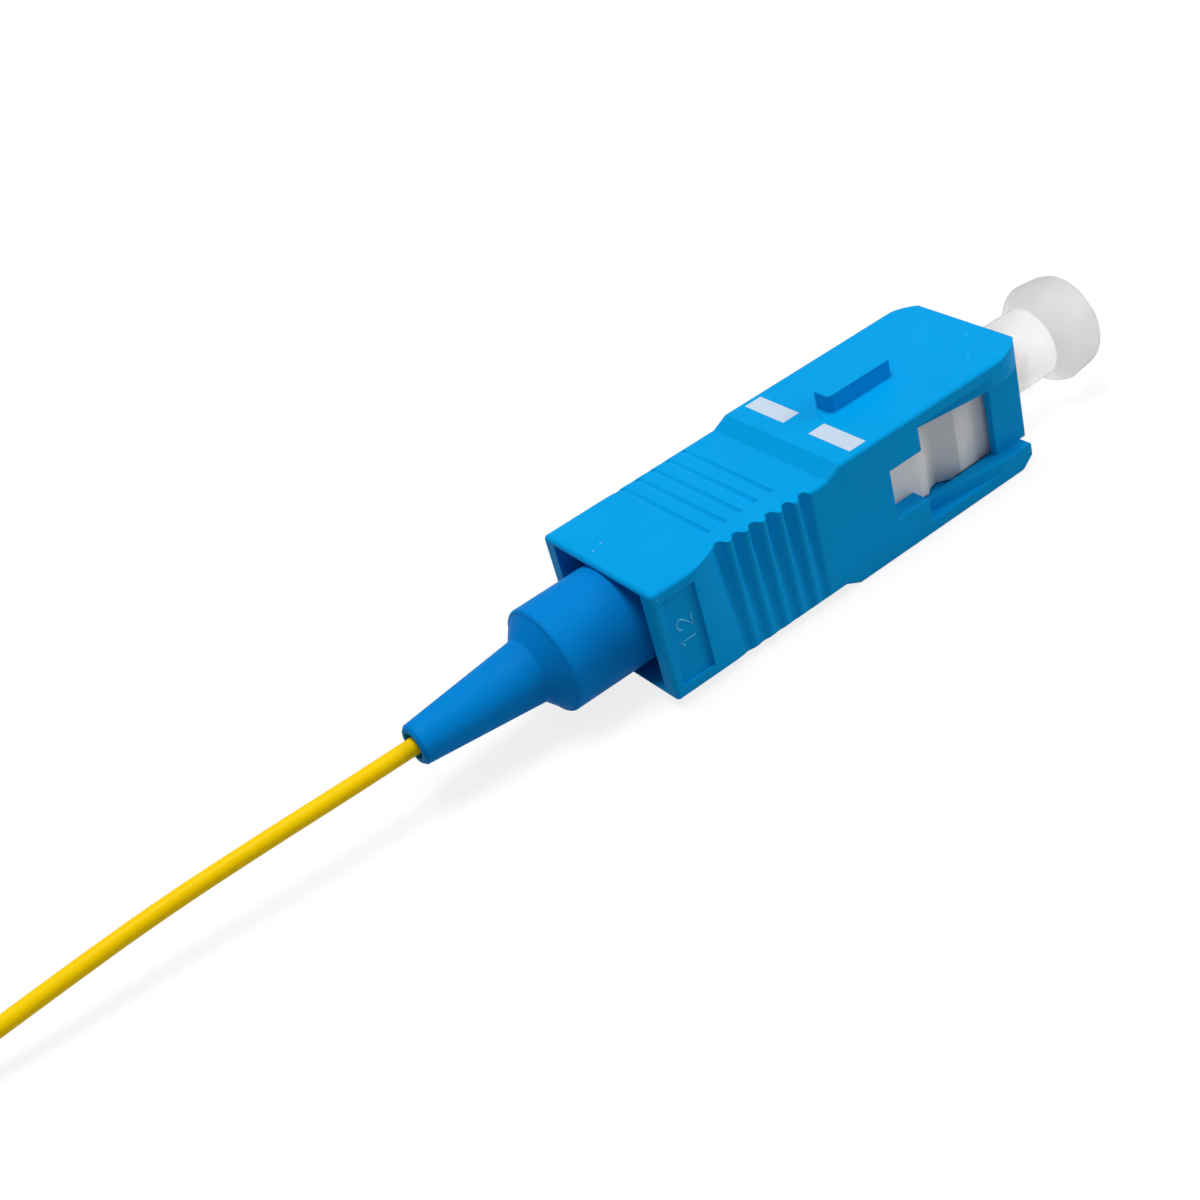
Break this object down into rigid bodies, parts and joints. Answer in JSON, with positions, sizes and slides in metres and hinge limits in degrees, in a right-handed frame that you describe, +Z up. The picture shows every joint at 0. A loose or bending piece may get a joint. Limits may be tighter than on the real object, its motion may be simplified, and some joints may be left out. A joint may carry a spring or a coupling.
{
  "type": "sc fibre connector",
  "caption": "Push-pull fibre optic connector with a blue outer housing, ivory plug frame, ceramic ferrule under a dust cap, and a boot on a thin yellow buffered pigtail.",
  "frame": {"origin": "centre of the underside of the connector with its dust cap, without the pigtail", "axes": "+X along the connector towards the mating end, +Y to its left, +Z up on the key's side"},
  "size_m": [0.1014, 0.0117, 0.0084],
  "materials": {
    "housing_blue": "semi-gloss moulded plastic",
    "mark_white": "printed",
    "frame_ivory": "moulded plastic",
    "zirconia": "polished ceramic",
    "flange_metal": "turned",
    "spring_steel": "drawn wire",
    "ring_metal": "turned",
    "tube_clear": "translucent",
    "buffer_yellow": "extruded plastic",
    "fibre_glass": "drawn glass",
    "boot_blue": "soft moulded elastomer",
    "cap_white": "moulded polyethylene"
  },
  "bodies": {
    "housing": {"outer_housing": "housing_blue", "index_mark_left": "mark_white", "index_mark_right": "mark_white"},
    "plug": {"plug_frame": "frame_ivory", "stop_ring": "ring_metal", "boot": "boot_blue", "ferrule_spring": "spring_steel", "buffered_fibre": "buffer_yellow", "pigtail_fibre": "buffer_yellow", "fibre_hank": "buffer_yellow"},
    "ferrule": {"ferrule": "zirconia", "ferrule_flange": "flange_metal", "guide_tube": "tube_clear", "bare_fibre": "fibre_glass"},
    "cap": {"dust_cap": "cap_white"}
  },
  "joints": [
    {"name": "housing_slide", "type": "slide", "parent": "housing", "child": "plug", "axis": [1, 0, 0], "range_m": [0, 0.0016]},
    {"name": "ferrule_float", "type": "slide", "parent": "plug", "child": "ferrule", "axis": [1, 0, 0], "range_m": [-0.001, 0], "stiffness_N_per_m": 2000, "deforming": ["ferrule_spring", "buffered_fibre"]},
    {"name": "cap_pull", "type": "slide", "parent": "ferrule", "child": "cap", "axis": [1, 0, 0], "range_m": [0, 0.012]}
  ]
}
